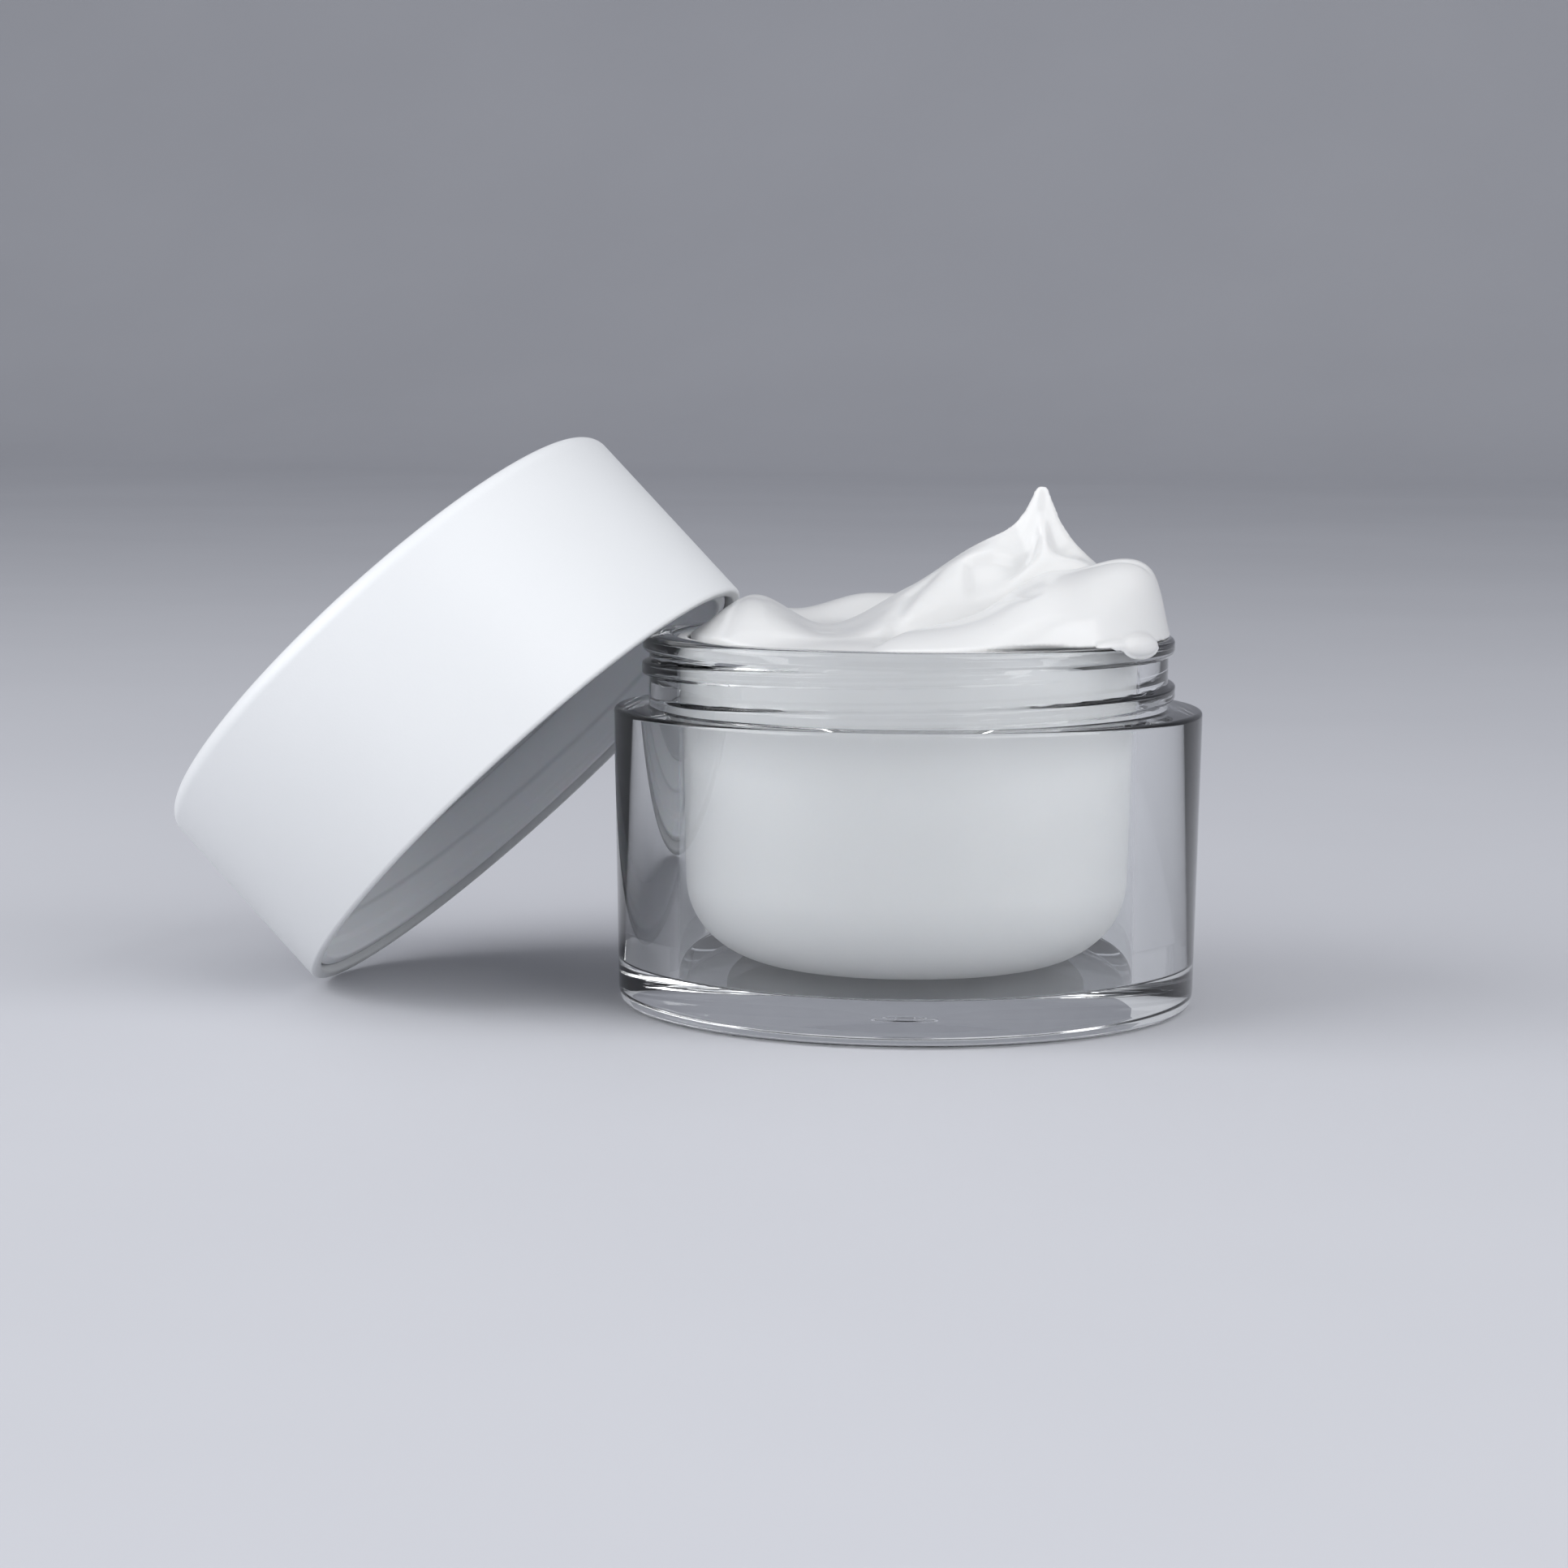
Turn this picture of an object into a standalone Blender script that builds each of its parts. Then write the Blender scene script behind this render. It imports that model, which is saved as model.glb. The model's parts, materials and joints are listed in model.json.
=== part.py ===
# Cosmetic cream jar, opened, with its screw cap leaning against the neck.
# Metres, +Z up. The origin is on the jar's axis, on the surface that the jar stands on.
# The cap leans towards -X. Its own frame has the mouth at height 0 and the top at CAP_HEIGHT.

import math

import bmesh
import bpy
from mathutils import Matrix, Vector

SEGMENTS = 48
GAP = 0.0003              # between pieces that touch
CHAMFER = 0.0003          # small edges

# Outer jar
JAR_RADIUS = 0.0320       # at the shoulder
BASE_RADIUS = 0.0314
SHOULDER_HEIGHT = 0.0324
LIP_HEIGHT = 0.0403
NECK_RADIUS = 0.0282      # root of the thread
LIP_BEAD = 0.0007         # how far the lip stands out from the neck
FLOOR_HEIGHT = 0.0044     # solid floor under the cup
CAVITY_RADIUS = 0.02555   # at the mouth
CAVITY_BASE_RADIUS = 0.02535
BASE_EDGE = 0.0012        # rounding of the bottom edge
SHOULDER_ROUND = 0.0005
BEAD_FOOT = 0.0020        # below the lip
BEAD_SIDE = 0.0015        # below the lip, where the bead is at its full width
LIP_CHAMFER = 0.0004
CAVITY_CORNER = 0.0006
FOOT_GROOVE_RADIUS = 0.0280
FOOT_GROOVE_WIDTH = 0.0012
FOOT_GROOVE_DEPTH = 0.0004
GATE_RADIUS = 0.0026      # ring left round the moulding gate
GATE_NUB_RADIUS = 0.0012
GATE_DEPTH = 0.0004

# Thread, the same pitch on the neck and in the cap
THREAD_PITCH = 0.0042
THREAD_DEPTH = 0.00075
THREAD_WIDTH = 0.0019
THREAD_PHASE_HEIGHT = 0.0375   # height of the ridge at the front of the neck
THREAD_START = math.radians(-150)
THREAD_END = math.radians(325)
THREAD_RUNOUT = math.radians(25)
THREAD_STEEPNESS = 1.6    # above 1 the ridge has a flat crest
THREAD_ROW = 0.00050      # spacing of the rows of vertices that the thread is raised from
FRONT = math.radians(270)

# Inner cup
CUP_TOP_RADIUS = 0.0252
CUP_LOW_RADIUS = 0.0245
CUP_TOP = 0.0400
CUP_BOTTOM = FLOOR_HEIGHT + GAP
CUP_WALL = 0.0012
CUP_CORNER = 0.0100

# Cream
CREAM_GAP = 0.0003
CREAM_LEVEL = 0.0402
CREAM_PEAK = Vector((0.0146, 0.0010))
CREAM_PEAK_RISE = 0.0150
CREAM_PEAK_SPREAD = 0.0062
CREAM_PEAK_POWER = 1.25      # near 1 is pointed, above 2 is blunt
CREAM_LOBE = Vector((0.0215, -0.0035))
CREAM_LOBE_RISE = 0.0085
CREAM_LOBE_SPREAD = 0.0075
CREAM_LOBE_POWER = 2.4
CREAM_RIDGE_Y = 0.004     # line of the ridge that climbs to the peak
CREAM_RIDGE_RISE = 0.0042
CREAM_RIDGE_WIDTH = 0.009
CREAM_RIDGE_START = -0.002   # x where it begins to climb
CREAM_CLIMB_LENGTH = 0.014   # over which the ridge and the back reach their height
CREAM_BACK_RISE = 0.0024
CREAM_BACK_START = -0.004    # y where the back begins to rise
CREAM_BACK_HALF_WIDTH = 0.020
CREAM_BOWL = Vector((-0.006, -0.004))
CREAM_BOWL_DEPTH = 0.0012
CREAM_BOWL_SIZE = Vector((0.010, 0.007))
CREAM_OVERHANG = 0.0045   # how far the lobe reaches out over the lip
CREAM_OVERHANG_ANGLE = -0.30
CREAM_OVERHANG_SPREAD = 0.55
CREAM_RINGS = 9
CREAM_FIRST_RING = 0.98      # its radius, as a part of the edge's
CREAM_EASE_START = 0.6       # rings over which the humps fade out towards the edge
CREAM_EASE_LENGTH = 1.4
CREAM_EDGE_STEP = 0.0001     # how much higher the overhang's outer edge is
CREAM_SEGMENTS = 40
CREAM_EDGE_DROP = 0.0009  # from its level down to where it leaves the cup's wall

# Cap
CAP_RADIUS = 0.0320
CAP_HEIGHT = 0.0243
CAP_WALL = 0.0013
CAP_TOP_THICKNESS = 0.0016
CAP_FILLET = 0.0019
CAP_RIM_ROUND = 0.00045
CAP_CEILING_CORNER = 0.0008
CAP_LEAN = math.radians(44.45)
CAP_OFFSET = 0.04315      # from the jar's axis to the middle of the cap's mouth
INSERT_RADIUS = CAP_RADIUS - CAP_WALL - GAP
INSERT_BORE = 0.0292
INSERT_RECESS = 0.0008    # how far the insert stops short of the cap's rim
INSERT_CEILING = 0.0092
INSERT_CEILING_THICKNESS = 0.0012
INSERT_WEB = 0.0012
INSERT_TOP_CHAMFER = 0.0006
INSERT_THREAD_HEIGHT = 0.0050   # of its ridge, at the same place as the neck's front
INSERT_THREAD_RELIEF = 0.0014   # plain wall under the ceiling
INSERT_THREAD_START = math.radians(30)
INSERT_THREAD_END = math.radians(430)   # its ridge ends below the gasket
GASKET_THICKNESS = 0.0008
GASKET_RADIUS = INSERT_BORE - GAP


def clearScene():
    for item in list(bpy.data.objects):
        bpy.data.objects.remove(item, do_unlink=True)


def makeMaterial(name, color, roughness, transmission=0.0, ior=1.5):
    made = bpy.data.materials.new(name)
    made.use_nodes = True
    shader = made.node_tree.nodes["Principled BSDF"]
    shader.inputs["Base Color"].default_value = (*color, 1.0)
    shader.inputs["Roughness"].default_value = roughness
    shader.inputs["Metallic"].default_value = 0.0
    shader.inputs["Transmission Weight"].default_value = transmission
    shader.inputs["IOR"].default_value = ior
    made.diffuse_color = (*color, 1.0)
    return made


def arc(centre, radius, start, end, steps):
    """Points of an arc in the (radius, height) plane, angles in degrees from +radius."""
    points = []
    for step in range(steps + 1):
        angle = math.radians(start + (end - start) * step / steps)
        points.append((centre[0] + radius * math.cos(angle), centre[1] + radius * math.sin(angle)))
    return points


def rows(start, end, spacing):
    """Evenly spaced points from start to end, both left out, about one spacing apart."""
    count = max(1, round(math.dist(start, end) / spacing))
    return [
        (start[0] + (end[0] - start[0]) * i / count, start[1] + (end[1] - start[1]) * i / count)
        for i in range(1, count)
    ]


def linkMesh(name, mesh_data, material, frame=None):
    mesh = bpy.data.meshes.new(name)
    mesh_data.to_mesh(mesh)
    mesh_data.free()
    mesh.materials.append(material)
    mesh.shade_smooth()
    mesh.set_sharp_from_angle(angle=math.radians(35))
    made = bpy.data.objects.new(name, mesh)
    bpy.context.scene.collection.objects.link(made)
    if frame is not None:
        made.parent = frame
    return made


def closeAndOrient(shape):
    bmesh.ops.remove_doubles(shape, verts=shape.verts, dist=0.000002)
    bmesh.ops.recalc_face_normals(shape, faces=shape.faces)
    if shape.calc_volume(signed=True) < 0:
        bmesh.ops.reverse_faces(shape, faces=shape.faces)


def turn(outline):
    """Turns an outline that begins and ends on the axis into a closed body."""
    shape = bmesh.new()
    verts = [shape.verts.new((radius, 0.0, height)) for radius, height in outline]
    edges = [shape.edges.new(pair) for pair in zip(verts, verts[1:])]
    bmesh.ops.spin(
        shape, geom=verts + edges, cent=(0, 0, 0), axis=(0, 0, 1),
        angle=math.tau, steps=SEGMENTS, use_merge=True,
    )
    closeAndOrient(shape)
    return shape


def threadRidge(angle, height, front_height, start, end):
    """How far the thread stands out at one point, from 0 to 1, along its own helix."""
    tallest = 0.0
    turn_index = math.floor((start - angle) / math.tau)
    while angle + turn_index * math.tau <= end:
        along = angle + turn_index * math.tau
        turn_index += 1
        if along < start:
            continue
        middle = front_height + THREAD_PITCH * (along - FRONT) / math.tau
        across = abs(height - middle) / (THREAD_WIDTH / 2)
        if across >= 1:
            continue
        fade = min(1.0, (along - start) / THREAD_RUNOUT, (end - along) / THREAD_RUNOUT)
        tallest = max(tallest, max(0.0, fade) * min(1.0, THREAD_STEEPNESS * (1 - across)))
    return tallest


def raiseThread(shape, root, low, high, depth, front_height, start, end):
    """Moves the vertices of a turned wall of radius root in or out to form its thread."""
    for vert in shape.verts:
        radius = vert.co.xy.length
        if abs(radius - root) > 0.00002 or not low < vert.co.z < high:
            continue
        angle = math.atan2(vert.co.y, vert.co.x)
        lift = depth * threadRidge(angle, vert.co.z, front_height, start, end)
        vert.co.xy *= (radius + lift) / radius


def makeOuterJar(material):
    lip_radius = NECK_RADIUS + LIP_BEAD
    neck_foot = (NECK_RADIUS, SHOULDER_HEIGHT)
    bead_foot = (NECK_RADIUS, LIP_HEIGHT - BEAD_FOOT)
    cavity_corner = (CAVITY_BASE_RADIUS - CAVITY_CORNER, FLOOR_HEIGHT + CAVITY_CORNER)
    groove_in = FOOT_GROOVE_RADIUS - FOOT_GROOVE_WIDTH / 2
    groove_out = FOOT_GROOVE_RADIUS + FOOT_GROOVE_WIDTH / 2
    outline = [
        (0, 0), (GATE_NUB_RADIUS, 0), (GATE_NUB_RADIUS + CHAMFER, GATE_DEPTH),
        (GATE_RADIUS - CHAMFER, GATE_DEPTH), (GATE_RADIUS, 0),
        (groove_in, 0), (groove_in + CHAMFER, FOOT_GROOVE_DEPTH),
        (groove_out - CHAMFER, FOOT_GROOVE_DEPTH), (groove_out, 0),
    ]
    outline += arc((BASE_RADIUS - BASE_EDGE, BASE_EDGE), BASE_EDGE, -90, 0, 3)
    outline += arc((JAR_RADIUS - SHOULDER_ROUND, SHOULDER_HEIGHT - SHOULDER_ROUND),
                   SHOULDER_ROUND, 0, 90, 2)
    outline += [neck_foot] + rows(neck_foot, bead_foot, THREAD_ROW) + [bead_foot]
    outline += [(lip_radius, LIP_HEIGHT - BEAD_SIDE), (lip_radius, LIP_HEIGHT - LIP_CHAMFER),
                (lip_radius - LIP_CHAMFER, LIP_HEIGHT), (CAVITY_RADIUS + CHAMFER, LIP_HEIGHT),
                (CAVITY_RADIUS, LIP_HEIGHT - CHAMFER)]
    outline += arc(cavity_corner, CAVITY_CORNER, 0, -90, 2)
    outline += [(0, FLOOR_HEIGHT)]
    shape = turn(outline)
    raiseThread(shape, NECK_RADIUS, SHOULDER_HEIGHT + 0.0001, bead_foot[1] - 0.0001,
                THREAD_DEPTH, THREAD_PHASE_HEIGHT, THREAD_START, THREAD_END)
    return linkMesh("outer_jar", shape, material)


def cupSection(inset):
    """The cup's outside, or its inside when inset is the wall's thickness, from the axis up."""
    corner = CUP_CORNER - inset
    low = CUP_LOW_RADIUS - inset
    bottom = CUP_BOTTOM + inset
    section = [(0, bottom), (low - corner, bottom)]
    section += arc((low - corner, bottom + corner), corner, -90, 0, 7)[1:]
    section += [(CUP_TOP_RADIUS - inset, CUP_TOP)]
    return section


def makeInnerCup(material):
    outside = cupSection(0.0)
    inside = cupSection(CUP_WALL)
    return linkMesh("inner_cup", turn(outside + inside[::-1]), material)


def creamRise(x, y):
    """Height of the cream's top over its level, from a few soft humps."""
    place = Vector((x, y))
    peak = CREAM_PEAK_RISE * math.exp(-((place - CREAM_PEAK).length / CREAM_PEAK_SPREAD) ** CREAM_PEAK_POWER)
    lobe = CREAM_LOBE_RISE * math.exp(-((place - CREAM_LOBE).length / CREAM_LOBE_SPREAD) ** CREAM_LOBE_POWER)
    climb = max(0.0, min(1.0, (x - CREAM_RIDGE_START) / CREAM_CLIMB_LENGTH))
    ridge = CREAM_RIDGE_RISE * math.exp(-((y - CREAM_RIDGE_Y) / CREAM_RIDGE_WIDTH) ** 2) * climb
    behind = max(0.0, min(1.0, (y - CREAM_BACK_START) / CREAM_CLIMB_LENGTH))
    back = CREAM_BACK_RISE * behind * max(0.0, 1 - (x / CREAM_BACK_HALF_WIDTH) ** 4)
    bowl_place = place - CREAM_BOWL
    bowl_gap = (bowl_place.x / CREAM_BOWL_SIZE.x) ** 2 + (bowl_place.y / CREAM_BOWL_SIZE.y) ** 2
    return max(peak, lobe, ridge) + back - CREAM_BOWL_DEPTH * math.exp(-bowl_gap)


def creamReach(angle):
    """How far out the cream lies at one angle: over the lip on the +X side, inside elsewhere."""
    off = angle - CREAM_OVERHANG_ANGLE
    spread = math.atan2(math.sin(off), math.cos(off))
    return CREAM_OVERHANG * math.exp(-(spread / CREAM_OVERHANG_SPREAD) ** 4)


def creamTop(ring, angle):
    """One point of the cream's top: rings -2 and -1 are its edge, the rest run inwards."""
    wall_radius = CUP_TOP_RADIUS - CUP_WALL - 2 * CREAM_GAP
    over_lip = LIP_HEIGHT + CREAM_GAP
    reach = creamReach(angle)
    overhangs = reach > LIP_CHAMFER
    if ring == -2:
        radius = wall_radius
        height = over_lip if overhangs else CREAM_LEVEL - CREAM_EDGE_DROP
    elif ring == -1:
        radius = wall_radius + reach
        height = over_lip + CREAM_EDGE_STEP if overhangs else CREAM_LEVEL - CREAM_EDGE_DROP / 2
    else:
        radius = (wall_radius + reach) * (CREAM_FIRST_RING - ring / CREAM_RINGS)
        height = max(CREAM_LEVEL, over_lip + 2 * CREAM_GAP) if overhangs else CREAM_LEVEL
        rise = creamRise(radius * math.cos(angle), radius * math.sin(angle))
        height += rise * min(1.0, (ring + CREAM_EASE_START) / CREAM_EASE_LENGTH)
    return (radius * math.cos(angle), radius * math.sin(angle), height)


def makeCream(material):
    angles = [math.tau * i / CREAM_SEGMENTS for i in range(CREAM_SEGMENTS)]
    side = cupSection(CUP_WALL + CREAM_GAP)[1:-1]
    loops = [[(radius * math.cos(a), radius * math.sin(a), height) for a in angles]
             for radius, height in side]
    loops += [[creamTop(ring, a) for a in angles] for ring in range(-2, CREAM_RINGS)]
    shape = bmesh.new()
    verts = [[shape.verts.new(point) for point in loop] for loop in loops]
    for lower, upper in zip(verts, verts[1:]):
        for i in range(CREAM_SEGMENTS):
            j = (i + 1) % CREAM_SEGMENTS
            shape.faces.new((lower[i], lower[j], upper[j], upper[i]))
    for loop, height in ((verts[0], side[0][1]), (verts[-1], CREAM_LEVEL + creamRise(0, 0))):
        centre = shape.verts.new((0, 0, height))
        for i in range(CREAM_SEGMENTS):
            shape.faces.new((loop[i], loop[(i + 1) % CREAM_SEGMENTS], centre))
    bmesh.ops.triangulate(shape, faces=shape.faces)
    closeAndOrient(shape)
    return linkMesh("cream", shape, material)


def makeCapFrame():
    """An empty on the cap's axis at the middle of its mouth, tilted as the cap leans."""
    held = bpy.data.objects.new("cap_frame", None)
    rim_height = (CAP_RADIUS - CAP_RIM_ROUND) * math.sin(CAP_LEAN)
    rim_height += CAP_RIM_ROUND * (1 - math.cos(CAP_LEAN))
    held.matrix_world = (Matrix.Translation((-CAP_OFFSET, 0, rim_height))
                         @ Matrix.Rotation(-CAP_LEAN, 4, "Y"))
    bpy.context.scene.collection.objects.link(held)
    return held


def makeCapShell(material, frame):
    inside = CAP_RADIUS - CAP_WALL
    ceiling = CAP_HEIGHT - CAP_TOP_THICKNESS
    outline = [(0, ceiling)]
    corner = (inside - CAP_CEILING_CORNER, ceiling - CAP_CEILING_CORNER)
    outline += arc(corner, CAP_CEILING_CORNER, 90, 0, 2)
    outline += [(inside, CHAMFER), (inside + CHAMFER, 0)]
    outline += arc((CAP_RADIUS - CAP_RIM_ROUND, CAP_RIM_ROUND), CAP_RIM_ROUND, -90, 0, 2)
    outline += arc((CAP_RADIUS - CAP_FILLET, CAP_HEIGHT - CAP_FILLET), CAP_FILLET, 0, 90, 4)
    outline += [(0, CAP_HEIGHT)]
    return linkMesh("cap_shell", turn(outline), material, frame)


def makeCapInsert(material, frame):
    top = CAP_HEIGHT - CAP_TOP_THICKNESS - GAP
    web_top = INSERT_CEILING + INSERT_CEILING_THICKNESS
    bore_top = (INSERT_BORE, INSERT_CEILING)
    bore_foot = (INSERT_BORE, INSERT_RECESS + CHAMFER)
    outline = [(0, INSERT_CEILING), bore_top]
    outline += rows(bore_top, bore_foot, THREAD_ROW) + [bore_foot]
    outline += [(INSERT_BORE + CHAMFER, INSERT_RECESS), (INSERT_RADIUS, INSERT_RECESS),
                (INSERT_RADIUS, top - INSERT_TOP_CHAMFER), (INSERT_RADIUS - INSERT_TOP_CHAMFER, top),
                (INSERT_RADIUS - INSERT_WEB, top), (INSERT_RADIUS - INSERT_WEB, web_top),
                (0, web_top)]
    shape = turn(outline)
    raiseThread(shape, INSERT_BORE, bore_foot[1] + 0.0001, INSERT_CEILING - INSERT_THREAD_RELIEF,
                -THREAD_DEPTH, INSERT_THREAD_HEIGHT, INSERT_THREAD_START, INSERT_THREAD_END)
    return linkMesh("cap_insert", shape, material, frame)


def makeCapGasket(material, frame):
    top = INSERT_CEILING - GAP
    bottom = top - GASKET_THICKNESS
    outline = [(0, bottom), (GASKET_RADIUS, bottom), (GASKET_RADIUS, top), (0, top)]
    return linkMesh("cap_gasket", turn(outline), material, frame)


clearScene()
clearPlastic = makeMaterial("clear_acrylic", (0.93, 0.96, 0.97), 0.04, 1.0, 1.49)
whiteCup = makeMaterial("cup_white", (0.87, 0.88, 0.88), 0.35)
creamWhite = makeMaterial("cream_white", (0.94, 0.94, 0.93), 0.30)
capWhite = makeMaterial("cap_white", (0.88, 0.89, 0.91), 0.38)
insertWhite = makeMaterial("insert_white", (0.80, 0.82, 0.86), 0.45)
gasketWhite = makeMaterial("gasket_foam", (0.82, 0.83, 0.85), 0.80)

makeOuterJar(clearPlastic)
makeInnerCup(whiteCup)
makeCream(creamWhite)
capFrame = makeCapFrame()
makeCapShell(capWhite, capFrame)
makeCapInsert(insertWhite, capFrame)
makeCapGasket(gasketWhite, capFrame)
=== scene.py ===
import json
import math

import bmesh
import bpy
import numpy as np
from mathutils import Euler, Matrix, Vector


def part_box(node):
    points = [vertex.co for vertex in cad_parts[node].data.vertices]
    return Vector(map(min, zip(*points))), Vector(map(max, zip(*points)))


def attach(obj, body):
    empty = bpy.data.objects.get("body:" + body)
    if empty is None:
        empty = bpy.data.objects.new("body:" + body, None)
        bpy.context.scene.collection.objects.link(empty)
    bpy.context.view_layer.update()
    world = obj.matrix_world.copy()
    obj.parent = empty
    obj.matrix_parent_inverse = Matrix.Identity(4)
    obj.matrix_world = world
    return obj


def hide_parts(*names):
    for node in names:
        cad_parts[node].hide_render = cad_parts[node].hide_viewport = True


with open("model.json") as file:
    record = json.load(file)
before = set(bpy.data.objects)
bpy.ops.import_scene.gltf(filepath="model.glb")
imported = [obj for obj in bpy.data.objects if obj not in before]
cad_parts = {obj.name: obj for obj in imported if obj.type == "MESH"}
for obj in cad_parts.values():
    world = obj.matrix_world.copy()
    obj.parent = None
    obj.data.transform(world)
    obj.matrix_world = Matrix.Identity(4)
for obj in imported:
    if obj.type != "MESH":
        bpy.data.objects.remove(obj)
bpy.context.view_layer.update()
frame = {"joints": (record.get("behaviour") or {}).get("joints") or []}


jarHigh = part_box("outer_jar")[1]
cupLow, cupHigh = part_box("inner_cup")
shellLow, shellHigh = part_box("cap_shell")
capHinge = next(joint for joint in frame["joints"] if joint["name"] == "cap_turn")
capAxis = Vector(capHinge["axis"]).normalized()
capMouth = Vector(capHinge["pos_m"])
capRadius = (shellHigh[1] - shellLow[1]) / 2
jarRadius = jarHigh[0]
lipHeight = jarHigh[2]
print("frame loaded")


# Picking and shaping

def workOn(piece, mode="OBJECT"):
    if bpy.context.object and bpy.context.object.mode != "OBJECT":
        bpy.ops.object.mode_set(mode="OBJECT")
    bpy.ops.object.select_all(action="DESELECT")
    piece.select_set(True)
    bpy.context.view_layer.objects.active = piece
    bpy.ops.object.mode_set(mode=mode)


def pick(piece, kind, test):
    # selects the vertices, edges or faces whose middle passes the test
    bpy.ops.mesh.select_mode(type=kind)
    bpy.ops.mesh.select_all(action="DESELECT")
    shape = bmesh.from_edit_mesh(piece.data)
    parts = {"VERT": shape.verts, "EDGE": shape.edges, "FACE": shape.faces}[kind]
    for part in parts:
        if kind == "VERT":
            middle = part.co
        elif kind == "EDGE":
            middle = (part.verts[0].co + part.verts[1].co) / 2
        else:
            middle = part.calc_center_median()
        part.select = bool(test(middle))
    shape.select_flush_mode()
    bmesh.update_edit_mesh(piece.data)


def applyModifier(piece, kind, **settings):
    workOn(piece)
    modifier = piece.modifiers.new(kind.lower(), kind)
    for name, value in settings.items():
        setattr(modifier, name, value)
    bpy.ops.object.modifier_apply(modifier=modifier.name)


def turnPiece(name, outline, steps, fineRows=None):
    # outline: (radius, height, rounding) from axis to axis, extruded point by point and spun round Z
    bpy.ops.object.select_all(action="DESELECT")
    bpy.ops.mesh.primitive_plane_add(size=0.0002)
    piece = bpy.context.object
    piece.name = piece.data.name = name
    workOn(piece, "EDIT")
    bpy.ops.mesh.select_mode(type="VERT")
    bpy.ops.mesh.merge(type="CENTER")
    here = Vector((outline[0][0], 0, outline[0][1]))
    bpy.ops.transform.translate(value=here)
    for radius, height, *_ in outline[1:]:
        there = Vector((radius, 0, height))
        bpy.ops.mesh.extrude_region_move(TRANSFORM_OT_translate={"value": there - here})
        here = there
    for radius, height, *rounding in outline:
        if not rounding:
            continue
        corner = Vector((radius, 0, height))
        pick(piece, "VERT", lambda spot: (spot - corner).length < 0.00001)
        bpy.ops.mesh.bevel(offset=rounding[0], segments=rounding[1], profile=0.5, affect="VERTICES")
    if fineRows:
        low, high, radius, spacing = fineRows
        pick(piece, "EDGE", lambda spot: low < spot.z < high and abs(spot.x - radius) < 0.00006)
        bpy.ops.mesh.subdivide(number_cuts=round((high - low) / spacing))
    bpy.ops.mesh.select_all(action="SELECT")
    bpy.ops.mesh.spin(steps=steps, angle=math.tau, center=(0, 0, 0), axis=(0, 0, 1))
    bpy.ops.mesh.select_all(action="SELECT")
    bpy.ops.mesh.remove_doubles(threshold=0.000002)
    bpy.ops.mesh.normals_make_consistent(inside=False)
    bpy.ops.object.mode_set(mode="OBJECT")
    return piece


def points(piece):
    spots = np.empty(len(piece.data.vertices) * 3)
    piece.data.vertices.foreach_get("co", spots)
    return spots.reshape(-1, 3)


def movePoints(piece, spots):
    piece.data.vertices.foreach_set("co", np.asarray(spots, float).ravel())
    piece.data.update()


def finishPiece(piece, body, node, material, angle=35):
    workOn(piece)
    bpy.ops.object.transform_apply(location=True, rotation=True, scale=True)
    bpy.ops.object.shade_smooth_by_angle(angle=math.radians(angle))
    piece.data.materials.clear()
    piece.data.materials.append(material)
    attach(piece, body)
    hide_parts(node)
    print("made", piece.name, len(piece.data.polygons), "faces")


# Shader maths and nodes

class Amount:
    def __init__(self, finish, socket):
        self.finish, self.socket = finish, socket

    def joined(self, operation, first, second=None):
        values = [first] if second is None else [first, second]
        return self.finish.add("ShaderNodeMath", {"operation": operation}, dict(enumerate(values)))

    def __add__(self, other):
        return self.joined("ADD", self, other)

    def __radd__(self, other):
        return self.joined("ADD", other, self)

    def __sub__(self, other):
        return self.joined("SUBTRACT", self, other)

    def __rsub__(self, other):
        return self.joined("SUBTRACT", other, self)

    def __mul__(self, other):
        return self.joined("MULTIPLY", self, other)

    def __rmul__(self, other):
        return self.joined("MULTIPLY", other, self)

    def __truediv__(self, other):
        return self.joined("DIVIDE", self, other)

    def __pow__(self, other):
        return self.joined("POWER", self, other)

    def __gt__(self, other):
        return self.joined("GREATER_THAN", self, other)


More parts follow.
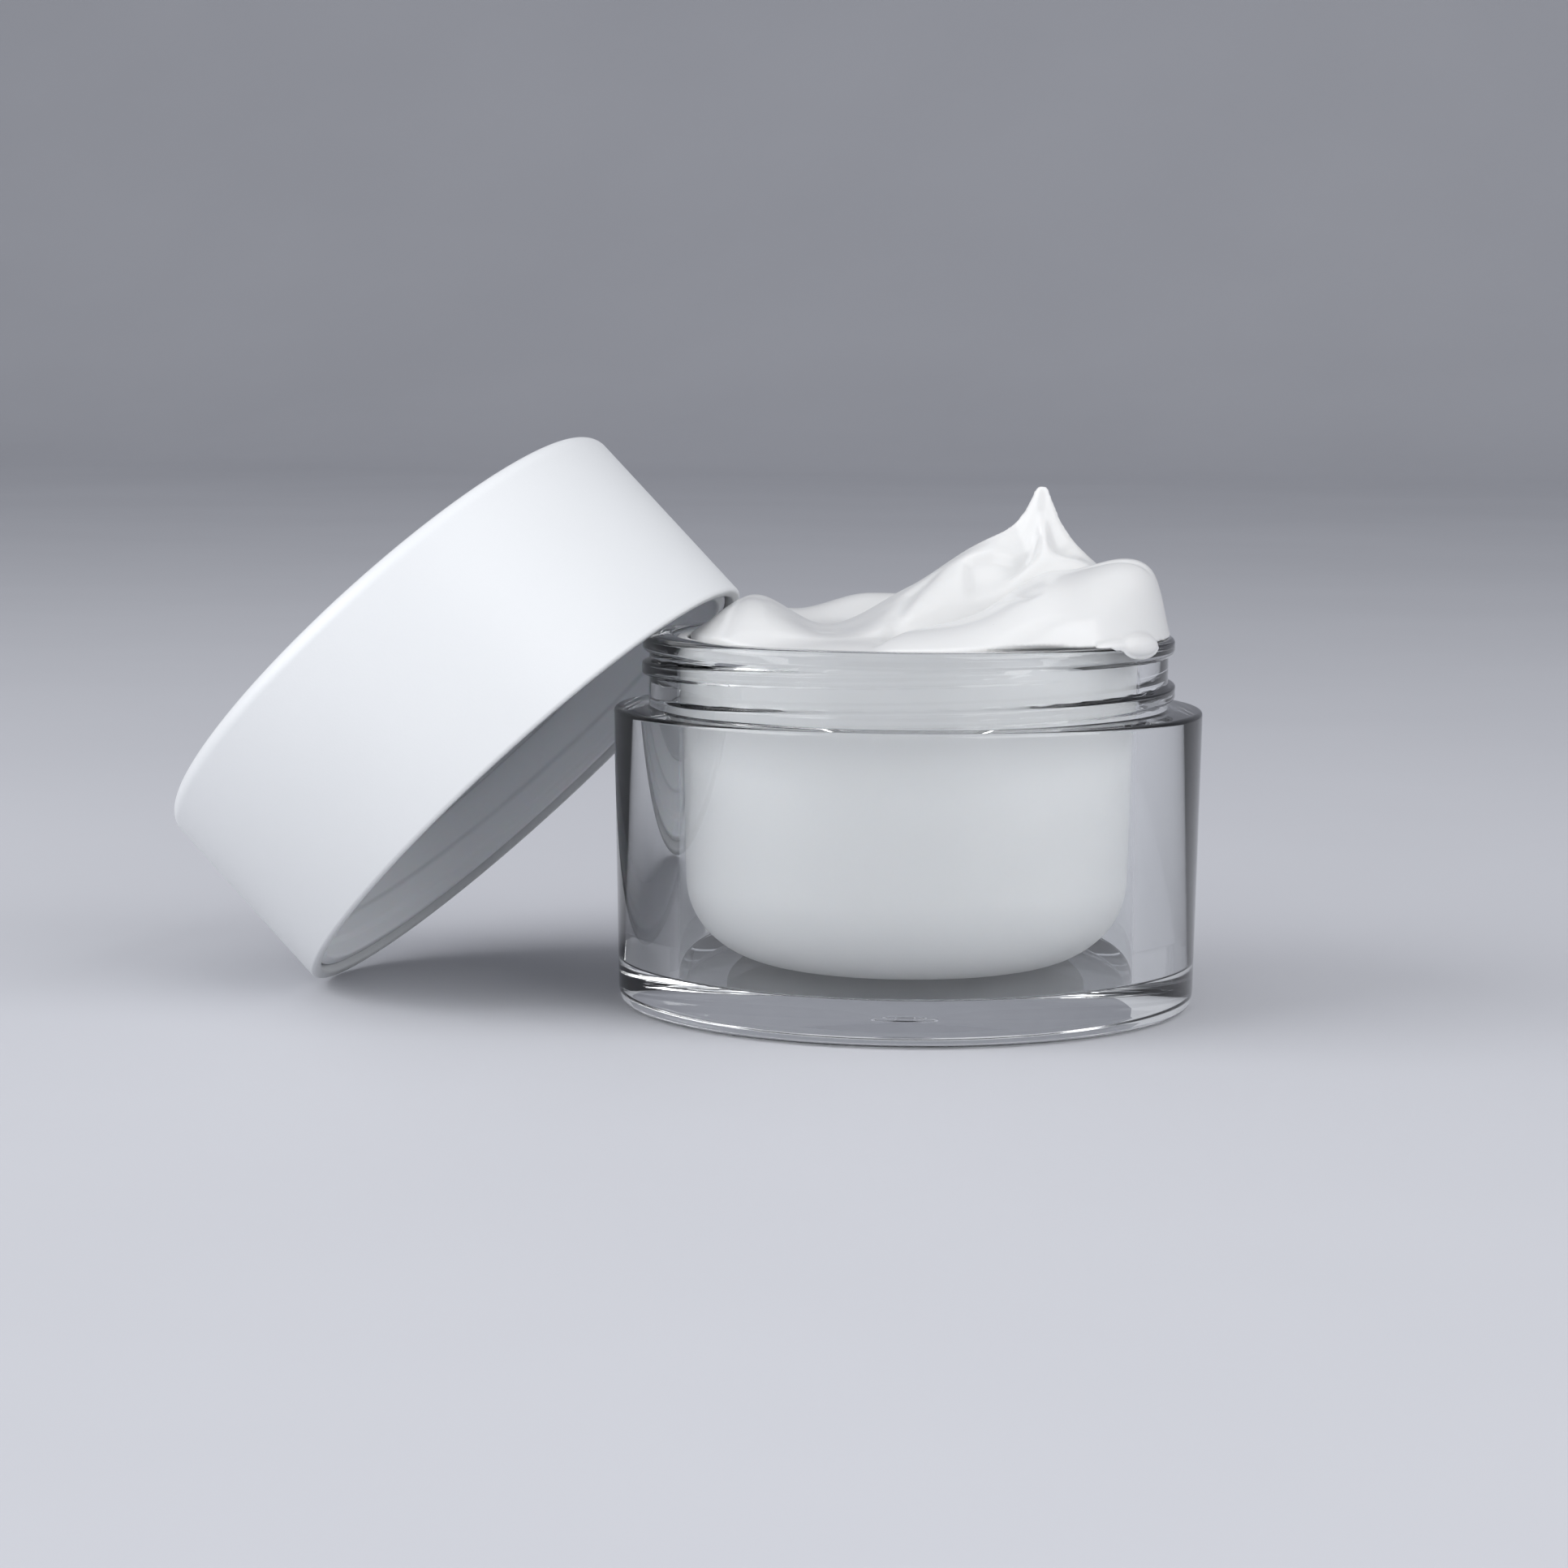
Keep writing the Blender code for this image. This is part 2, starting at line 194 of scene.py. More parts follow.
class Finish:
    def __init__(self, name, **constants):
        self.material = bpy.data.materials.new(name)
        self.material.use_nodes = True
        self.tree = self.material.node_tree
        self.shader = self.tree.nodes["Principled BSDF"]
        for socket, value in constants.items():
            self.shader.inputs[socket.replace("_", " ")].default_value = value
        self.place = self.add("ShaderNodeTexCoord", output="Object").socket

    def add(self, kind, settings=None, inputs=None, output=0):
        node = self.tree.nodes.new(kind)
        for name, value in (settings or {}).items():
            if name == "stops":
                self.setStops(node, value)
            else:
                setattr(node, name, value)
        for name, value in (inputs or {}).items():
            self.feed(node.inputs[name], value)
        return Amount(self, node.outputs[output])

    def setStops(self, node, stops):
        elements = node.color_ramp.elements
        while len(elements) > len(stops):
            elements.remove(elements[-1])
        while len(elements) < len(stops):
            elements.new(1.0)
        for element, (position, value) in zip(elements, stops):
            element.position = position
            element.color = (*value, 1.0) if hasattr(value, "__len__") else (value, value, value, 1.0)

    def feed(self, socket, value):
        if isinstance(value, Amount):
            value = value.socket
        if isinstance(value, bpy.types.NodeSocket):
            self.tree.links.new(value, socket)
        else:
            socket.default_value = value

    def noise(self, scale, detail=3.0, roughness=0.5, place=None):
        inputs = {"Vector": place or self.place, "Scale": scale, "Detail": detail, "Roughness": roughness}
        return self.add("ShaderNodeTexNoise", {}, inputs, "Fac")

    def ramp(self, value, stops):
        return self.add("ShaderNodeValToRGB", {"stops": stops}, {"Fac": value}, "Color")

    def set(self, **values):
        for name, value in values.items():
            self.feed(self.shader.inputs[name.replace("_", " ")], value)
        return self

    def bump(self, height, distance, strength=1.0):
        inputs = {"Height": height, "Distance": distance, "Strength": strength}
        return self.set(Normal=self.add("ShaderNodeBump", {}, inputs, "Normal"))


def makeClearAcrylic():
    look = {"tint": (0.985, 0.995, 0.997, 1.0), "ior": 1.49, "waviness": 0.000006}
    finish = Finish("clearAcrylic", Transmission_Weight=1.0, IOR=look["ior"], Metallic=0.0)
    swirl = finish.noise(60.0, 2.0)
    scuffs = finish.noise(900.0, 4.0, 0.7)
    finish.set(Base_Color=look["tint"], Roughness=0.0 + 0.035 * (scuffs > 0.66))
    finish.bump(swirl, look["waviness"], 0.6)
    return finish.material


def makeCupWhite():
    finish = Finish("cupWhite", IOR=1.49, Subsurface_Weight=0.15, Subsurface_Scale=0.0006)
    finish.shader.inputs["Subsurface Radius"].default_value = (1.0, 0.95, 0.9)
    clouds = finish.noise(90.0, 3.0)
    finish.set(Base_Color=finish.ramp(clouds, [(0.3, (0.90, 0.905, 0.905)), (0.7, (0.92, 0.923, 0.925))]),
               Roughness=0.44 + 0.08 * finish.noise(420.0))
    finish.bump(finish.noise(2600.0, 2.0), 0.000004)
    return finish.material


def makeCreamGloss():
    finish = Finish("creamGloss", IOR=1.42, Subsurface_Weight=0.45, Subsurface_Scale=0.0012,
                    Coat_Roughness=0.12)
    finish.shader.inputs["Subsurface Radius"].default_value = (1.0, 0.92, 0.85)
    soft = finish.noise(140.0, 3.0)
    fine = finish.noise(900.0, 3.0, 0.6)
    finish.set(Base_Color=finish.ramp(soft, [(0.25, (0.63, 0.63, 0.625)), (0.75, (0.652, 0.652, 0.648))]),
               Roughness=0.24 + 0.16 * fine, Coat_Weight=0.25 + 0.2 * soft)
    finish.bump(soft * 0.7 + fine * 0.12, 0.00008, 0.7)
    return finish.material


def makeCapWhite():
    finish = Finish("capSatinWhite", IOR=1.5)
    grain = finish.noise(3200.0, 2.0, 0.6)
    clouds = finish.noise(35.0, 2.0)
    finish.set(Base_Color=finish.ramp(clouds, [(0.3, (0.65, 0.66, 0.67)), (0.7, (0.668, 0.678, 0.688))]),
               Roughness=0.36 + 0.10 * finish.noise(300.0))
    finish.bump(grain, 0.000012, 0.8)
    return finish.material


def makeInsertWhite():
    finish = Finish("insertWhite", IOR=1.49, Subsurface_Weight=0.1, Subsurface_Scale=0.0005)
    clouds = finish.noise(70.0, 3.0)
    finish.set(Base_Color=finish.ramp(clouds, [(0.3, (0.89, 0.91, 0.94)), (0.7, (0.91, 0.925, 0.95))]),
               Roughness=0.34 + 0.12 * finish.noise(500.0))
    finish.bump(finish.noise(1800.0, 3.0), 0.00001)
    return finish.material


def makeGasketFoam():
    finish = Finish("gasketFoam", IOR=1.45)
    cells = finish.add("ShaderNodeTexVoronoi", {}, {"Vector": finish.place, "Scale": 2600.0}, "Distance")
    finish.set(Base_Color=finish.ramp(cells, [(0.0, (0.66, 0.68, 0.70)), (0.6, (0.78, 0.79, 0.80))]),
               Roughness=0.72 + 0.15 * finish.noise(400.0))
    finish.bump(cells, 0.00006, 0.8)
    return finish.material


def makeFloorPaint():
    finish = Finish("paleFloor", IOR=1.45)
    clouds = finish.noise(6.0)
    finish.set(Base_Color=finish.ramp(clouds, [(0.3, (0.49, 0.495, 0.525)), (0.7, (0.51, 0.515, 0.545))]),
               Roughness=0.62 + 0.08 * finish.noise(40.0))
    return finish.material


# Outer jar

outerJar = {
    "steps": 320,
    "baseRadius": 0.0314,
    "shoulderHeight": 0.0324,
    "neckRadius": 0.0282,
    "lipBead": 0.0007,
    "floorHeight": 0.0044,
    "cavityTop": 0.02555,
    "cavityFoot": 0.02535,
    "threadPitch": 0.0042,
    "threadDepth": 0.00078,
    "threadWidth": 0.0021,
    "threadFront": 0.0375,
    "threadTurns": (math.radians(-150), math.radians(325)),
    "threadFade": math.radians(28),
}


def threadRise(spots, frontHeight, pitch, width, turns):
    # how far a right-hand thread stands out at each point, from 0 to 1
    angle = np.arctan2(spots[:, 1], spots[:, 0])
    start, end = turns
    rise = np.zeros(len(spots))
    front = math.radians(270)
    for lap in range(-2, 4):
        along = angle + lap * math.tau
        middle = frontHeight + pitch * (along - front) / math.tau
        across = np.abs(spots[:, 2] - middle) / (width / 2)
        shape = np.clip(1.25 * (1 - np.clip(across, 0, 1) ** 2.2), 0, 1)
        shape = shape * shape * (3 - 2 * shape)
        fade = np.clip(np.minimum(along - start, end - along) / outerJar["threadFade"], 0, 1)
        rise = np.maximum(rise, shape * fade * fade * (3 - 2 * fade))
    return rise


def makeOuterJar(material):
    spec = outerJar
    neck, lip = spec["neckRadius"], spec["neckRadius"] + spec["lipBead"]
    shoulder, top = spec["shoulderHeight"], lipHeight
    foot, cavity = spec["baseRadius"], spec["cavityTop"]
    outline = [
        (0, 0), (0.0012, 0, 0.0002, 3), (0.0019, 0.00022, 0.0003, 4), (0.0026, 0, 0.0002, 3),
        (0.0274, 0), (0.0277, 0.0004, 0.00012, 2), (0.0283, 0.0004, 0.00012, 2), (0.0286, 0),
        (foot - 0.0012, 0, 0.0002, 2), (foot - 0.0004, 0.0003, 0.0003, 3), (foot, 0.0013, 0.0006, 4),
        (jarRadius, shoulder, 0.0005, 5), (neck + 0.0001, shoulder, 0.0004, 3),
        (neck, shoulder + 0.0002), (neck, top - 0.0021),
        (lip, top - 0.0016, 0.0003, 4), (lip, top, 0.0006, 6),
        (cavity, top, 0.0005, 5), (spec["cavityFoot"], spec["floorHeight"], 0.0003, 4),
        (0, spec["floorHeight"]),
    ]
    jar = turnPiece("outerJar", outline, spec["steps"], (shoulder + 0.0002, top - 0.0021, neck, 0.00011))
    spots = points(jar)
    radius = np.hypot(spots[:, 0], spots[:, 1])
    onNeck = (np.abs(radius - neck) < 0.00002) & (spots[:, 2] > shoulder) & (spots[:, 2] < top - 0.0020)
    rise = threadRise(spots, spec["threadFront"], spec["threadPitch"], spec["threadWidth"],
                      spec["threadTurns"])
    grown = (radius + spec["threadDepth"] * rise) / np.maximum(radius, 0.001)
    spots[onNeck, :2] *= grown[onNeck, None]
    movePoints(jar, spots)
    finishPiece(jar, "jar", "outer_jar", material)
    return jar


# Inner cup

innerCup = {"steps": 256, "lowRadius": 0.0245, "wall": 0.0012, "corner": 0.0100}


def makeInnerCup(material):
    spec = innerCup
    top, bottom, rim = cupHigh[2], cupLow[2], cupHigh[0]
    low, wall, corner = spec["lowRadius"], spec["wall"], spec["corner"]

    def section(inset):
        centre = (low - corner, bottom + corner)
        bend = corner - inset
        arc = [(centre[0] + bend * math.sin(a), centre[1] - bend * math.cos(a))
               for a in (math.radians(90) * i / 20 for i in range(21))]
        return [(0, bottom + inset)] + arc

    outline = section(0) + [(rim, top, 0.0003, 4), (rim - wall, top, 0.0003, 4)] + section(wall)[::-1]
    cup = turnPiece("innerCup", outline, spec["steps"])
    finishPiece(cup, "jar", "inner_cup", material)
    return cup


# Cap

cap = {"steps": 288, "wall": 0.0013, "topThickness": 0.0016, "fillet": 0.0019, "rimRound": 0.00045,
       "height": 0.0243}
capInsert = {"steps": 288, "gap": 0.0003, "bore": 0.0292, "recess": 0.0008, "ceiling": 0.0092,
             "ceilingThickness": 0.0012, "web": 0.0012,
             "threadDepth": 0.00040, "threadWidth": 0.0030, "threadHeight": 0.0050,
             "threadTurns": (math.radians(30), math.radians(430))}
capGasket = {"steps": 192, "thickness": 0.0008}


def leanWithCap(piece):
    workOn(piece)
    tilt = Vector((0, 0, 1)).rotation_difference(capAxis)
    piece.matrix_world = Matrix.Translation(capMouth) @ tilt.to_matrix().to_4x4()


def makeCapShell(material):
    spec = cap
    inside, height = capRadius - spec["wall"], spec["height"]
    ceiling, crown, rim = height - spec["topThickness"], spec["fillet"], spec["rimRound"]
    outline = [
        (0, ceiling), (inside, ceiling, 0.0008, 4), (inside, 0, 0.0003, 3),
        (capRadius, 0, rim, 5), (capRadius, height, crown, 14), (0, height),
    ]
    shell = turnPiece("capShell", outline, spec["steps"])
    leanWithCap(shell)
    finishPiece(shell, "cap", "cap_shell", material)
    return shell


def makeCapInsert(material):
    spec = capInsert
    outer, bore = capRadius - cap["wall"] - spec["gap"], spec["bore"]
    top, ceiling = cap["height"] - cap["topThickness"] - spec["gap"], spec["ceiling"]
    webTop, web, foot = ceiling + spec["ceilingThickness"], spec["web"], spec["recess"]
    outline = [
        (0, ceiling), (bore, ceiling, 0.0003, 3), (bore, foot, 0.0003, 3), (outer, foot, 0.0002, 3),
        (outer, top, 0.0003, 3), (outer - web, top, 0.0003, 3), (outer - web, webTop, 0.0004, 3), (0, webTop),
    ]
    insert = turnPiece("capInsert", outline, spec["steps"], (foot + 0.0003, ceiling - 0.0003, bore, 0.00015))
    spots = points(insert)
    radius = np.hypot(spots[:, 0], spots[:, 1])
    onBore = (np.abs(radius - bore) < 0.00002) & (spots[:, 2] > foot + 0.0002) & (spots[:, 2] < ceiling)
    rise = threadRise(spots, spec["threadHeight"], outerJar["threadPitch"], spec["threadWidth"],
                      spec["threadTurns"])
    shrunk = (radius - spec["threadDepth"] * rise) / np.maximum(radius, 0.001)
    spots[onBore, :2] *= shrunk[onBore, None]
    movePoints(insert, spots)
    leanWithCap(insert)
    finishPiece(insert, "cap", "cap_insert", material)
    return insert


def makeCapGasket(material):
    top = capInsert["ceiling"] - capInsert["gap"]
    bottom, edge = top - capGasket["thickness"], capInsert["bore"] - capInsert["gap"]
    outline = [(0, bottom), (edge - 0.0014, bottom), (edge - 0.0011, bottom + 0.0001, 0.00008, 2),
               (edge, bottom, 0.0002, 3), (edge, top, 0.0001, 2), (0, top)]
    gasket = turnPiece("capGasket", outline, capGasket["steps"])
    leanWithCap(gasket)
    finishPiece(gasket, "cap_liner", "cap_gasket", material)
    return gasket


# Cream

cream = {
    "steps": 288,
    "rings": 96,
    "turn": 14,            # degrees from the jar's X axis to the line that the swirl is laid out along
    "wallGap": 0.3,        # millimetres from here on
    "overLip": 0.05,
    "tip": 16.0,
    "slab": 4.2,
    "insideEdge": 23.7,
    "overhang": 4.7,
    "voxel": 0.25,
    "smoothing": 4,
    "bottomRows": 8,
    # each line below is a smooth curve: places across, with a height over the lip or a place away
    # the ridge runs from a low bank on the left, over a dip, up the wave and down past the lobe
    "crest": [(-24, 1), (-17, 4), (-9, 1), (0, 5), (10, 10), (20, 7.5), (28, 0)],
    "crestLine": [(-24, 2), (-18, 6), (-9, 0), (5, 2.5), (28, 0)],
    # the peak stands on the ridge and narrows to its tip
    "peakPlace": 14.5, "peakRise": 7.6, "peakWidth": 2.0, "peakRound": 0.5, "peakSpread": 1.8,
    # how far the ridge has fallen at the shoulder of its face, and the ledge and the crease under that
    "shoulder": [(-24, 0), (-5, 0.5), (9, 1.5), (14.5, 5.5), (18.5, 1), (28, 0)],
    "ledge": [(-24, 0), (-18, 2), (-8, 0.5), (3, 3.5), (9, 4.5), (15, 8.5), (20, 7), (28, 0)],
    "crease": [(-24, 0), (-5, -0.6), (8, 1), (15, 5.5), (20, 6), (28, 0)],
    # the fold in front of the crease, which swells into the lobe over the lip
    "fold": [(-6, 0), (-3, 1), (7, 3), (14, 7), (18, 7.5), (23, 8.5), (27, 6), (29, 0.5)],
    "foldLine": [(-24, -23), (-6, -23), (0, -15.5), (8, -9.5), (16, -6), (29, -2.5)],
    "foldStart": -6.2, "foldReach": 28.6,
    # how wide the ridge's back, the bank at the rear and the fold's back are
    "behindRidge": [(-24, 4), (-5, 3), (5, 5), (14.5, 3), (28, 6)],
    "bank": [(-24, 0.5), (-18, 3), (-12, 2), (-4, 3.5), (6, 3), (22, 1)],
    "bankLine": [(-24, 2), (-9, 14), (0, 16.5), (20, 10)],
    "backReach": [(-5, 0.8), (14, 1), (20, 5), (29, 10)],
    "bankWidth": 6.4,
    # grooves: depth, width and path
    "ridgeGroove": (0.45, 0.9, [(-3.0, -20), (-1.4, -9), (0.4, -3), (3.4, 0.5)]),
    "foldGrooves": [(0.3, 1.0, [(8.5, -10.2), (10.5, -13), (12.8, -17)]),
                    (0.3, 0.6, [(17, -6.6), (19.7, -6.2), (23.5, -6.4), (26, -6.6)])],
    # the hollow in the ridge's face: depth, where it starts and ends across
    "scoopDepth": 1.1, "scoopStart": (5.4, 7.0), "scoopEnd": (13.2, 14.6),
    # the edge: where the cream runs out over the lip, and how it rounds off elsewhere
    "lobeAngle": -0.30, "lobeSpread": 0.80, "edgeDrop": 0.7,
    # drips and smears that join the swirl: place across and away, height over the lip, size, turn
    "drops": [(23.5, -15.5, -0.1, (1.3, 4.0, 1.35), -33), (21.6, -17.9, 0.15, (1.0, 4.4, 0.6), -40)],
}


def along(knots, where):
    # a smooth curve through (place, value) knots, without overshoot
    places, values = (np.array(column, float) for column in zip(*knots))
    return between(places, values[:, None], where)


def between(places, values, where):
    # the same for rows of values, one row at each place, that may differ from point to point
    where = np.asarray(where, float)
    runs = np.diff(places)
    steps = [(upper - lower) / run for lower, upper, run in zip(values, values[1:], runs)]
    slopes = [steps[0]] + [np.where(one * two > 0, (one + two) / 2, 0) for one, two in zip(steps, steps[1:])]
    slopes.append(steps[-1])
    result = np.zeros(where.shape) + values[0] * (where < places[0]) + values[-1] * (where >= places[-1])
    for index, run in enumerate(runs):
        part = (where - places[index]) / run
        square, cube = part ** 2, part ** 3
        piece = ((2 * cube - 3 * square + 1) * values[index]
                 + (cube - 2 * square + part) * run * slopes[index]
                 + (3 * square - 2 * cube) * values[index + 1] + (cube - square) * run * slopes[index + 1])
        result = np.where((where >= places[index]) & (where < places[index + 1]), piece, result)
    return result


def softMax(first, second, blend):
    close = np.clip(blend - np.abs(first - second), 0, None) / blend
    return np.maximum(first, second) + close * close * blend / 4


def smoothStep(low, high, value):
    part = np.clip((value - low) / (high - low), 0, 1)
    return part * part * (3 - 2 * part)


def strokeWeight(across, away, path, width):
    # 1 on a stroke drawn through the path's points, fading over its width and at its ends
    nearest = np.full(np.shape(across), 1e9)
    progress = np.zeros(np.shape(across))
    count = len(path) - 1
    for index, (start, end) in enumerate(zip(path, path[1:])):
        run = np.array(end, float) - np.array(start, float)
        part = np.clip(((across - start[0]) * run[0] + (away - start[1]) * run[1]) / (run @ run), 0, 1)
        distance = np.hypot(across - start[0] - part * run[0], away - start[1] - part * run[1])
        closer = distance < nearest
        nearest = np.where(closer, distance, nearest)
        progress = np.where(closer, (index + part) / count, progress)
    ends = np.clip(np.minimum(progress, 1 - progress) / 0.2, 0, 1)
    return np.exp(-(nearest / width) ** 2) * ends * (2 - ends)


def crestHeight(across):
    off = np.hypot(across - cream["peakPlace"], cream["peakRound"]) - cream["peakRound"]
    return along(cream["crest"], across) + cream["peakRise"] * np.exp(-off / cream["peakWidth"])


def creamRise(across, away):
    # millimetres over the lip, at places in millimetres right of and behind the jar's axis
    names = ("crestLine", "shoulder", "ledge", "crease", "fold", "foldLine", "behindRidge", "bank",
             "bankLine", "backReach")
    level = {name: along(cream[name], across) for name in names}
    crest, crestLine, foldLine = crestHeight(across), level["crestLine"], level["foldLine"]
    angle = np.arctan2(away, across)
    rise = 0.25 + 0.2 * np.sin(3 * angle + 0.5) * (np.hypot(across, away) / 24)
    bank = level["bank"] * np.exp(-(np.abs(away - level["bankLine"]) / cream["bankWidth"]) ** 2.2)
    rise = softMax(rise, bank, 0.8)

    # the ridge and its face, down to the crease behind the fold
    off = crestLine - away
    share = off / np.maximum(crestLine - foldLine, 1)
    crease = np.minimum(level["crease"], crest - 0.05)
    ledge = np.clip(level["ledge"], crease, crest)
    shoulder = np.maximum(crest - level["shoulder"], ledge)
    # away from its very top the ridge is rounder, so that the peak is a cone and not a fin
    spread = cream["peakSpread"] * smoothStep(0, 0.15, share)
    crest = (crest + crestHeight(across - spread) + crestHeight(across + spread)) / 3
    steps = np.array([0, 0.26, 0.64, 0.71, 0.82, 0.90, 1.0])
    upper, lower = crease * 0.35 + ledge * 0.65, crease * 0.82 + ledge * 0.18
    face = between(steps, [crest, shoulder, ledge, upper, lower, crease, crease], share)
    face = face - 1.2 * np.clip(off - crestLine + foldLine, 0, None)
    scoop = smoothStep(0.25, 0.31, share) * (1 - smoothStep(0.42, 0.66, share))
    scoopSpan = smoothStep(*cream["scoopStart"], across), 1 - smoothStep(*cream["scoopEnd"], across)
    face = face - cream["scoopDepth"] * scoop * scoopSpan[0] * scoopSpan[1]
    back = crest * np.exp(-(np.abs(off) / level["behindRidge"]) ** 1.4)
    rise = softMax(rise, np.where(off > 0, face, back), 0.6)
    depth, width, path = cream["ridgeGroove"]
    rise = rise - depth * strokeWeight(across, away, path, width)

    ahead = foldLine - away
    reach = np.sqrt(np.clip(cream["foldReach"] ** 2 - across ** 2, 1, None))
    frontReach = np.clip(foldLine + reach, 2.5, None)
    drop, rear = np.clip(ahead / frontReach, 0, 1), np.clip(-ahead / level["backReach"], 0, 1)
    front, back = np.clip(1 - drop ** 2.4, 0, 1) ** 0.85, np.clip(1 - rear ** 2.0, 0, 1) ** 0.8
    body = np.where(ahead > 0, front, back)
    fold = np.clip(level["fold"], 0, None) * body * (across > cream["foldStart"])
    for depth, width, path in cream["foldGrooves"]:
        fold = fold - depth * strokeWeight(across, away, path, width)
    return np.minimum(softMax(rise, fold, 0.18), cream["tip"])


def addDrop(across, away, over, size, turn):
    # a round blob, in millimetres right of and behind the axis and over the lip
    bpy.ops.object.select_all(action="DESELECT")
    bpy.ops.mesh.primitive_uv_sphere_add(segments=40, ring_count=24, radius=0.001)
    drop = bpy.context.object
    spin = math.radians(cream["turn"])
    drop.location = (Matrix.Rotation(spin, 3, "Z") @ Vector((across, away, 0))) / 1000
    drop.location.z = lipHeight + over / 1000
    drop.scale = size
    drop.rotation_euler = (0, 0, spin + math.radians(turn))
    bpy.ops.object.transform_apply(location=True, rotation=True, scale=True)
    return drop


def clearOfLip(spots):
    # millimetre points that would lie in the lip move out of it, up or outwards
    radius = np.hypot(spots[:, 0], spots[:, 1])
    top, side = lipHeight * 1000 + 0.06, (outerJar["neckRadius"] + outerJar["lipBead"]) * 1000 + 0.05
    within = (radius > cream["insideEdge"] + 0.35) & (radius < side) & (spots[:, 2] < top)
    up, out = top - spots[:, 2], side - radius
    lift = within & (up <= out)
    push = within & (up > out)
    spots[lift, 2] = top
    spots[push, :2] *= (side / np.maximum(radius, 1))[push, None]
    return spots


def makeCream(material):
    spec = cream
    inside = (cupHigh[0] - innerCup["wall"]) * 1000 - spec["wallGap"]
    top = lipHeight * 1000
    outline = [(0, top - spec["slab"]), (inside - 0.1, top - spec["slab"]), (inside, top - 0.6)]
    outline += [(inside * (1 - i / spec["rings"]) ** 0.85, top) for i in range(spec["rings"] + 1)]
    body = turnPiece("creamSwirl", [(r / 1000, h / 1000) for r, h in outline], spec["steps"])
    spots = points(body) * 1000
    turned = math.radians(spec["turn"])
    across = spots[:, 0] * math.cos(turned) + spots[:, 1] * math.sin(turned)
    away = -spots[:, 0] * math.sin(turned) + spots[:, 1] * math.cos(turned)
    radius = np.hypot(across, away)
    angle = np.arctan2(away, across)
    over = np.exp(-(np.abs(angle - spec["lobeAngle"]) / spec["lobeSpread"]) ** 4)
    edge = spec["insideEdge"] + spec["overhang"] * over
    onTop = spots[:, 2] > top - 0.01
    share = radius / inside
    wider = np.where(onTop, share * edge / np.maximum(radius, 1e-6), 1.0)
    across, away = across * wider, away * wider
    rounded = 1 - np.clip((share - 0.91) / 0.09, 0, 1) ** 3
    sunk = 1 - 0.5 * np.clip((share - 0.7) / 0.3, 0, 1) ** 2
    height = creamRise(across, away) * (rounded * over + sunk * (1 - over))
    height = height - spec["edgeDrop"] * (1 - over) * share ** 6
    spots[:, 2] = np.where(onTop, top + spec["overLip"] + height, spots[:, 2])
    spots[:, 0] = across * math.cos(turned) - away * math.sin(turned)
    spots[:, 1] = across * math.sin(turned) + away * math.cos(turned)
    movePoints(body, spots / 1000)

    drops = [addDrop(*drop) for drop in spec["drops"]]
    workOn(body)
    for drop in drops:
        drop.select_set(True)
    bpy.ops.object.join()
    applyModifier(body, "REMESH", mode="VOXEL", voxel_size=spec["voxel"] / 1000, adaptivity=0.0)
    applyModifier(body, "SMOOTH", factor=0.5, iterations=spec["smoothing"])
    movePoints(body, clearOfLip(points(body) * 1000) / 1000)
    fillCup(body, inside / 1000)
    finishPiece(body, "jar", "cream", material, 180)
    return body


def fillCup(body, inside):
    # below the swirl the cream is plain, and follows the cup down
    cut = lipHeight - (cream["slab"] - 1.2) / 1000
    gap = cream["wallGap"] / 1000
    bend = innerCup["corner"] - innerCup["wall"] - gap
    low = innerCup["lowRadius"] - innerCup["wall"] - gap
    bottom = cupLow[2] + innerCup["wall"] + gap
    workOn(body, "EDIT")
    bpy.ops.mesh.select_mode(type="VERT")
    bpy.ops.mesh.select_all(action="SELECT")
    bpy.ops.mesh.bisect(plane_co=(0, 0, cut), plane_no=(0, 0, 1), clear_inner=True, threshold=0.00001)
    bpy.ops.mesh.select_all(action="DESELECT")
    bpy.ops.mesh.select_non_manifold(extend=False, use_wire=False, use_boundary=True,
                                     use_multi_face=False, use_non_contiguous=False, use_verts=False)
    here, width = cut, inside
    for row in range(cream["bottomRows"] + 1):
        angle = math.radians(90) * row / cream["bottomRows"]
        radius = low - bend + bend * math.cos(angle)
        there = bottom + bend * (1 - math.sin(angle))
        bpy.ops.mesh.extrude_region_move(TRANSFORM_OT_translate={"value": (0, 0, there - here)})
        shrink = radius / width
        bpy.ops.transform.resize(value=(shrink, shrink, 1), center_override=(0, 0, there))
        here, width = there, radius
    bpy.ops.mesh.edge_face_add()
    bpy.ops.mesh.select_all(action="SELECT")
    bpy.ops.mesh.remove_doubles(threshold=0.000002)
    bpy.ops.mesh.normals_make_consistent(inside=False)
    bpy.ops.object.mode_set(mode="OBJECT")


# Stage, light and camera

